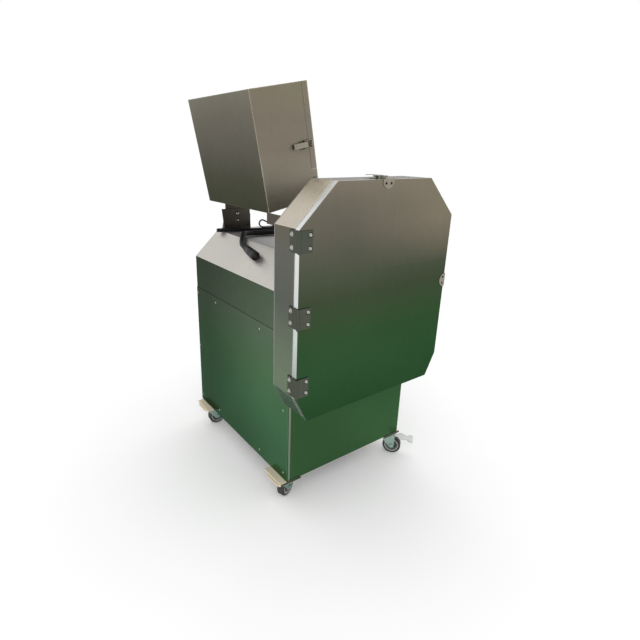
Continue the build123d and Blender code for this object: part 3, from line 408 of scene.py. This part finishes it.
def wheel_finish(place):
    """Rubber tyre on a grey rim and hub, told apart by the distance from the wheel's own axle."""
    joint = next(joint for joint in frame["joints"] if joint["name"] == "roll_" + place)
    tree = Tree("wheel_" + place)
    offset = tree.add("VectorMath", operation="SUBTRACT")
    tree.join(tree.add("TexCoord").outputs["Object"], offset.inputs[0])
    offset.inputs[1].default_value = joint["pos_m"]
    along = tree.add("VectorMath", operation="DOT_PRODUCT")
    tree.join(offset.outputs[0], along.inputs[0])
    along.inputs[1].default_value = joint["axis"]
    square = tree.add("VectorMath", operation="DOT_PRODUCT")
    tree.join(offset.outputs[0], square.inputs[0])
    tree.join(offset.outputs[0], square.inputs[1])
    sideways = tree.math("MULTIPLY", along.outputs["Value"], along.outputs["Value"])
    outwards = tree.math("SUBTRACT", square.outputs["Value"], sideways)
    radius = tree.math("SQRT", tree.math("MAXIMUM", outwards, 0.0))
    bands = [(0.0, colour(206, 210, 206)), (0.26, colour(206, 210, 206)), (0.30, colour(66, 72, 70)),
             (0.62, colour(74, 80, 78)), (0.66, colour(178, 184, 178)), (0.768, colour(178, 184, 178)),
             (0.782, colour(24, 25, 24)), (1.0, colour(36, 37, 34))]
    fine = tree.noise(260, 4.0)
    tone = tree.ramp(tree.spread(radius, 0.0, wheel_radius), bands)
    dusty = tree.mix(tree.spread(tree.noise(30, 3.0), 0.4, 0.75, 0.0, 0.25), tone, colour(112, 112, 100))
    tree.join(dusty, tree.shader.inputs["Base Color"])
    tree.join(tree.spread(fine, 0.3, 0.7, 0.5, 0.66), tree.shader.inputs["Roughness"])
    tree.bump(fine, 0.25, 0.0003, 0.0008)
    return tree.material


finishes = {
    "welded_frame": steel_tube, "drive_plates": steel_tube, "caster_mounts": pad_finish,
    "front_panel": steel_front, "back_panel": steel_cover, "side_covers": steel_cover, "roof": steel_roof,
    "motor": motor_paint, "motor_shaft": steel_blade, "motor_pulley": cast_iron, "shaft_pulley": cast_iron,
    "drive_belts": black_rubber, "bearing_blocks": cast_iron, "bearing_rings": steel_blade,
    "cutter_shaft": steel_blade, "cutter_disc": steel_blade, "knives": steel_blade,
    "knife_fixings": steel_screw, "disc_hub": steel_inside, "clamping_knob": black_plastic,
    "cutting_housing": steel_housing, "housing_back_plate": steel_inside, "shaft_seal": seal_rubber,
    "door_panel": steel_door, "door_seal": seal_rubber, "door_keepers": steel_keeper,
    "hinge_fixed_leaves": steel_fitting, "door_hinge_leaves": steel_fitting, "latch_bases": steel_fitting,
    "hopper_body": steel_hopper, "hopper_door": steel_hopper, "hopper_door_fittings": steel_keeper,
    "hopper_slide": steel_inside, "feed_chute": steel_inside, "rear_bracket": steel_dark,
    "front_arms": steel_dark, "button_collars": steel_screw, "start_button": green_plastic,
    "stop_button": red_plastic, "cable_glands": black_plastic,
}
for name, node in nodes.items():
    finish = finishes.get(name)
    # Levers and bails away from the hopper get the brighter screw steel as a painted reflection of bright
    # surroundings
    if name.endswith(("_lever", "_bail")):
        finish = steel_keeper if name.startswith("hopper") else steel_screw
    if name.startswith("caster_fork"):
        finish = zinc
    if name.startswith("caster_wheel"):
        finish = wheel_finish(name.removeprefix("caster_wheel_"))
    if name.startswith("brake_pedal"):
        finish = pedal_finish
    if finish:
        node.data.materials.clear()
        node.data.materials.append(finish)


def piece(name, mesh, body, finish):
    """Add a mesh as a piece that moves with a body."""
    made = bpy.data.meshes.new(name)
    mesh.to_mesh(made)
    mesh.free()
    thing = bpy.data.objects.new(name, made)
    bpy.context.collection.objects.link(thing)
    made.materials.append(finish)
    for polygon in made.polygons:
        polygon.use_smooth = True
    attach(thing, body)
    return thing


def aim(point, normal):
    """Matrix that takes the local z axis to the normal, at a point."""
    facing = Vector(normal).normalized().to_track_quat("Z", "Y").to_matrix()
    return Matrix.Translation(point) @ facing.to_4x4()


def lathe(mesh, profile, steps=32, matrix=Matrix()):
    """Turned form: profile is a list of (radius, height) pairs from one end of the axis to the other."""
    rings = []
    for radius, height in profile:
        if radius <= 0:
            rings.append([mesh.verts.new(matrix @ Vector((0, 0, height)))])
        else:
            turns = [math.tau * number / steps for number in range(steps)]
            spots = [Vector((radius * math.cos(turn), radius * math.sin(turn), height)) for turn in turns]
            rings.append([mesh.verts.new(matrix @ spot) for spot in spots])
    for first, second in zip(rings, rings[1:]):
        for number in range(steps):
            after = (number + 1) % steps
            if len(first) == 1:
                mesh.faces.new((first[0], second[number], second[after]))
            elif len(second) == 1:
                mesh.faces.new((first[number], second[0], first[after]))
            else:
                mesh.faces.new((first[number], second[number], second[after], first[after]))


def pan_screw(mesh, point, normal, radius=0.0045, height=0.0022):
    """Pan head with a round recess, standing on a surface."""
    place = aim(point, normal)
    profile = [(0, height * 0.45), (radius * 0.16, height * 0.5), (radius * 0.24, height)]
    profile += [(radius * 0.6, height * 0.93), (radius * 0.88, height * 0.6), (radius, height * 0.15)]
    profile += [(radius, -0.0004), (0, -0.0004)]
    lathe(mesh, profile, 20, place)


def button_screw(mesh, point, normal, radius=0.0062, height=0.0038):
    """Button head with a socket, on a thin washer."""
    place = aim(point, normal)
    socket = radius * 0.42
    profile = [(0, height * 0.35), (socket * 0.95, height * 0.35), (socket, height * 0.98)]
    profile += [(radius * 0.62, height * 0.92), (radius * 0.86, height * 0.66), (radius, height * 0.25)]
    profile += [(radius * 1.02, 0.0), (radius * 1.3, 0.0), (radius * 1.32, -0.0006), (0, -0.0006)]
    lathe(mesh, profile, 24, place)


def dark_screw(mesh, point, normal, radius=0.0041, height=0.0008):
    """Countersunk screw in its hole, in a dark finish that paints the shade of the hole."""
    place = aim(point, normal)
    slot = radius * 0.3
    profile = [(0, height * 0.2), (slot, height * 0.2), (slot * 1.2, height), (radius, height * 0.7)]
    lathe(mesh, profile + [(radius, -0.0012), (0, -0.0012)], 20, place)


# Screws of the side covers, the same on both sides
left_cover, right_cover = -2, 602
cover_rows = {673: (193, 558, 740, 22), 407: (30, 740), 139: (25, 197, 558, 738)}
cover_screws = bmesh.new()
for z, row in cover_rows.items():
    for y in row:
        pan_screw(cover_screws, at(left_cover, y, z), (-1, 0, 0))
        pan_screw(cover_screws, at(right_cover, y, z), (1, 0, 0))
piece("cover_screws", cover_screws, "base", steel_screw)

# Screws of the door's hinges, on the housing's wall and on the door
hinge_heights = (588, 824, 1060)
screw_offset = 20
leaf_on_wall = -68.3
leaf_on_door = -137
hinge_screws = bmesh.new()
leaf_screws = bmesh.new()
for middle in hinge_heights:
    for z in (middle - screw_offset, middle + screw_offset):
        button_screw(hinge_screws, at(leaf_on_wall, -97, z), (-1, 0, 0))
        button_screw(leaf_screws, at(-30, leaf_on_door, z), (0, -1, 0))
piece("hinge_fixed_screws", hinge_screws, "base", steel_screw)
piece("hinge_door_screws", leaf_screws, "door", steel_screw)

def on_hopper(x, y, z):
    """Point given in the hopper's own upright frame in millimetres, in the row frame."""
    left, back, low = hopper_corner
    return at(left + x * math.cos(hopper_lean) - z * math.sin(hopper_lean), back + y,
              low + x * math.sin(hopper_lean) + z * math.cos(hopper_lean))


# Screws of the latches' keepers on the door and on the hopper's side door
keeper_thickness = 1.8
keeper_face = front_of_door - keeper_thickness
keeper_screws = bmesh.new()
for x, z in ((265.5, 1216), (288.5, 1216), (609, 840.5), (609, 863.5)):
    dark_screw(keeper_screws, at(x, keeper_face, z), (0, -1, 0))
piece("keeper_screws", keeper_screws, "door", hole_shade)

hopper_keeper_screws = bmesh.new()
for z in (191.5, 214.5):
    dark_screw(hopper_keeper_screws, on_hopper(226.7, -1.5, z), (0, -1, 0))
piece("hopper_keeper_screws", hopper_keeper_screws, "hopper_side", hole_shade)

# Bolts of the rear bracket, each with the radius of its head in metres
bracket_face = 711
bracket_bolts = bmesh.new()
for x, z, size in ((198, 1029, 0.0085), (199, 997, 0.0065)):
    button_screw(bracket_bolts, at(x, bracket_face, z), (0, -1, 0), radius=size, height=size * 0.6)
piece("bracket_bolts", bracket_bolts, "base", steel_screw)


# Cables: each one smooth line through its route
def cable(name, points, radius, body):
    """Round line of a cable, one smooth curve through its route."""
    line = bpy.data.curves.new(name, "CURVE")
    line.dimensions = "3D"
    line.bevel_depth = radius
    line.bevel_resolution = 6
    line.resolution_u = 10
    line.use_fill_caps = True
    spline = line.splines.new("NURBS")
    spline.points.add(len(points) - 1)
    for target, point in zip(spline.points, points):
        target.co = (*point, 1.0)
    spline.order_u = 3
    spline.use_endpoint_u = True
    line.materials.append(cable_sheath)
    thing = bpy.data.objects.new(name, line)
    bpy.context.collection.objects.link(thing)
    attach(thing, body)
    return thing


def on_slope(x, y, lift):
    """Point the given distance above the roof's left slope."""
    rise = roof_height - shoulder_height
    return at(x, y, shoulder_height + (rise * x + lift * math.hypot(slope_run, rise)) / slope_run)


# Power lead, from its gland behind the housing over the roof and down the left slope
low = roof_height + 11.3
lead_route = [at(378, 440, low + 14), at(346, 462, low + 12), at(312, 485, low + 5), at(276, 507, low + 1)]
lead_route += [at(242, 524, low + 0.3), at(205, 536, low + 0.3), at(168, 541, low + 1), at(140, 533, low + 4)]
lead_route += [at(118, 515, low + 6), on_slope(101, 495, 15), on_slope(88, 476, 13), on_slope(77, 455, 16)]
lead_route += [on_slope(70, 431, 18.9), on_slope(66, 403, 18.9)]
power_lead = cable("power_lead_line", lead_route, 0.011, "base")
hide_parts("power_lead")


def ribs(start, end, count, high, low):
    """Profile of evenly spaced rings along a straight stretch, as (radius, height) pairs."""
    step = (end - start) / count
    profile = []
    for number in range(count):
        begin = start + number * step
        profile += [(low, begin), (high, begin + step * 0.2)]
        profile += [(high, begin + step * 0.75), (low, begin + step * 0.95)]
    return profile


# Connector of the power lead: ribbed gland, body, coupling ring and a face with its sockets
plug = bmesh.new()
plug_place = aim(lead_route[-1], lead_route[-1] - lead_route[-2])
profile = [(0, 0), (0.0118, 0), (0.013, 0.0015)] + ribs(0.003, 0.024, 5, 0.0148, 0.0138)
profile += [(0.0146, 0.0245), (0.0146, 0.0262), (0.0165, 0.0272), (0.017, 0.0285), (0.017, 0.0625)]
profile += [(0.0162, 0.0633), (0.0162, 0.0645), (0.0174, 0.0652)] + ribs(0.066, 0.094, 9, 0.0185, 0.0176)
profile += [(0.018, 0.0945), (0.0168, 0.0978), (0.0148, 0.098), (0.0145, 0.0935), (0.0125, 0.093)]
profile += [(0.0123, 0.0965), (0, 0.0965)]
lathe(plug, profile, 40, plug_place)
contacts = 4
for number in range(contacts):
    angle = math.tau * number / contacts
    centre = Vector((0.0062 * math.cos(angle), 0.0062 * math.sin(angle), 0.0965))
    profile = [(0, -0.0002), (0.0014, -0.0002), (0.0015, 0.0006), (0.0022, 0.0006), (0.0022, -0.0004)]
    lathe(plug, profile, 16, plug_place @ Matrix.Translation(centre))
power_plug = piece("power_plug", plug, "base", black_plastic)
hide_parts("power_connector")

relief = bmesh.new()
profile = [(0, -0.006), (0.0142, -0.006), (0.0142, 0)] + ribs(0.001, 0.034, 6, 0.0134, 0.0121)
lathe(relief, profile + [(0.0114, 0.038), (0, 0.038)], 32, aim(lead_route[0], lead_route[1] - lead_route[0]))
power_relief = piece("power_strain_relief", relief, "base", black_rubber)

# Signal cable: from its gland over the raised loop into two turns of the hank, and out to its connector
hank_start = Vector((97, 698))
hank_along = Vector((275, -79)).normalized()
hank_across = Vector((-hank_along.y, hank_along.x))


def in_hank(along, across, z):
    """Point in the hank, along and across its middle line from the near fold."""
    spot = hank_start + hank_along * along + hank_across * across
    return at(spot.x, spot.y, z)


def run(z, *places):
    """Control points at one height, from (along, across) pairs."""
    return [in_hank(along, across, z) for along, across in places]


def fold(centre, radius, z, sense):
    """Control points of a half turn about a point on the hank's middle line."""
    reach = radius / math.cos(math.radians(22.5))
    turns = [math.radians(angle) for angle in (67.5, 22.5, -22.5, -67.5)]
    reach *= sense
    return run(z, *[(centre + reach * math.cos(turn), reach * math.sin(turn)) for turn in turns])


upper, lower = 964.4, 957.1
signal_route = [at(408, 669, 966), at(385, 675, 966), at(358, 681, 973), at(330, 683, 989)]
signal_route += [at(308, 681, 997), at(285, 668, 981), at(292, 654, 965), in_hank(225, 14, 964.6)]
signal_route += run(upper, (262, 18.6)) + fold(286, 19.8, upper, 1)
signal_route += run(upper, (262, -18.8), (225, -17.6), (188, -16.2), (150, -15.2), (112, -13.4))
signal_route += run(upper, (74, -12.8), (36, -11.2)) + fold(0, 10, upper, -1) + run(upper, (36, 11.2))
signal_route += [in_hank(74, 12.6, 964.2), in_hank(112, 13.6, 963.5), in_hank(145, 14.8, 960)]
signal_route += [in_hank(172, 16, 957.6)] + run(lower, (200, 17), (232, 17.8), (262, 18.8))
signal_route += fold(286, 19.8, lower, 1)
signal_route += run(lower, (262, -19), (225, -17.4), (188, -16.4), (150, -14.8), (112, -13.8))
signal_route += run(lower, (74, -12.4), (36, -11.4)) + fold(0, 10, lower, -1)
signal_route += run(lower, (36, 10.6), (74, 9.5), (112, 8.6), (150, 8), (188, 6.5))
signal_route += [in_hank(215, 4, 958), in_hank(238, 1, 963), in_hank(252, 0, 971), in_hank(262, 0, 974.9)]
signal_lead = cable("signal_lead_line", signal_route, 0.0035, "base")
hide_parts("signal_lead", "signal_hank")

small_plug = bmesh.new()
profile = [(0, 0), (0.0042, 0), (0.0046, 0.004), (0.0055, 0.005), (0.0055, 0.014)]
profile += ribs(0.0145, 0.027, 6, 0.0068, 0.0064)
profile += [(0.0066, 0.028), (0.0058, 0.0295), (0.0052, 0.0295), (0.005, 0.0265), (0, 0.0265)]
lathe(small_plug, profile, 28, aim(signal_route[-1], signal_route[-1] - signal_route[-2]))
signal_plug = piece("signal_plug", small_plug, "base", black_plastic)
small_relief = bmesh.new()
profile = [(0, -0.003), (0.0055, -0.003), (0.0055, 0)] + ribs(0.0005, 0.0145, 4, 0.0051, 0.0044)
small_relief_place = aim(signal_route[0], signal_route[1] - signal_route[0])
lathe(small_relief, profile + [(0.0038, 0.016), (0, 0.016)], 24, small_relief_place)
signal_relief = piece("signal_strain_relief", small_relief, "base", black_rubber)

# Floor, backdrop and light
floor = bpy.data.objects.new("floor", bpy.data.meshes.new("floor"))
sheet = bmesh.new()
bmesh.ops.create_grid(sheet, x_segments=1, y_segments=1, size=30)
sheet.to_mesh(floor.data)
sheet.free()
bpy.context.collection.objects.link(floor)
floor_tree = Tree("floor_paint")
paint = floor_tree.mix(floor_tree.noise(3, 2.0), (0.95, 0.95, 0.95, 1), (0.965, 0.965, 0.965, 1))
floor_tree.join(paint, floor_tree.shader.inputs["Base Color"])
floor_tree.shader.inputs["Roughness"].default_value = 0.9
floor_tree.shader.inputs["Specular IOR Level"].default_value = 0.1
floor_tree.shader.inputs["Emission Color"].default_value = (1, 1, 1, 1)


def background_rays(nodes, links):
    """1 on rays that show the background: straight from the camera, in a mirror or through glass."""
    rays = nodes.new("ShaderNodeLightPath")
    seen = rays.outputs["Is Camera Ray"]
    for name in ("Is Glossy Ray", "Is Transmission Ray"):
        either = nodes.new("ShaderNodeMath")
        either.operation = "MAXIMUM"
        links.new(seen, either.inputs[0])
        links.new(rays.outputs[name], either.inputs[1])
        seen = either.outputs[0]
    return seen


lifted = floor_tree.math("MULTIPLY", background_rays(floor_tree.nodes, floor_tree.links), 0.12)
floor_tree.join(lifted, floor_tree.shader.inputs["Emission Strength"])
floor.data.materials.append(floor_tree.material)

world = bpy.data.worlds.new("world")
bpy.context.scene.world = world
world.use_nodes = True
sky = world.node_tree.nodes["Background"]
sky.inputs["Color"].default_value = (1, 1, 1, 1)
sky.inputs["Strength"].default_value = 0.92
background = background_rays(world.node_tree.nodes, world.node_tree.links)
shown = world.node_tree.nodes.new("ShaderNodeBackground")
shown.inputs["Color"].default_value = (1, 1, 1, 1)
shown.inputs["Strength"].default_value = 1.0
choose = world.node_tree.nodes.new("ShaderNodeMixShader")
surface = world.node_tree.nodes["World Output"].inputs["Surface"]
for source, target in ((background, choose.inputs[0]), (sky.outputs[0], choose.inputs[1]),
                       (shown.outputs[0], choose.inputs[2]), (choose.outputs[0], surface)):
    world.node_tree.links.new(source, target)


def soft_light(name, place, target, size, power):
    """Square lamp that faces a target."""
    lamp = bpy.data.lights.new(name, "AREA")
    lamp.size = size
    lamp.energy = power
    thing = bpy.data.objects.new(name, lamp)
    bpy.context.collection.objects.link(thing)
    thing.location = place
    thing.rotation_euler = (Vector(target) - Vector(place)).to_track_quat("-Z", "Y").to_euler()


soft_light("key", (-2.2, -2.6, 3.4), (0, 0, 0.8), 1.2, 12)
soft_light("top", (0.6, 0.6, 4.2), (0, 0, 1.0), 1.6, 12)
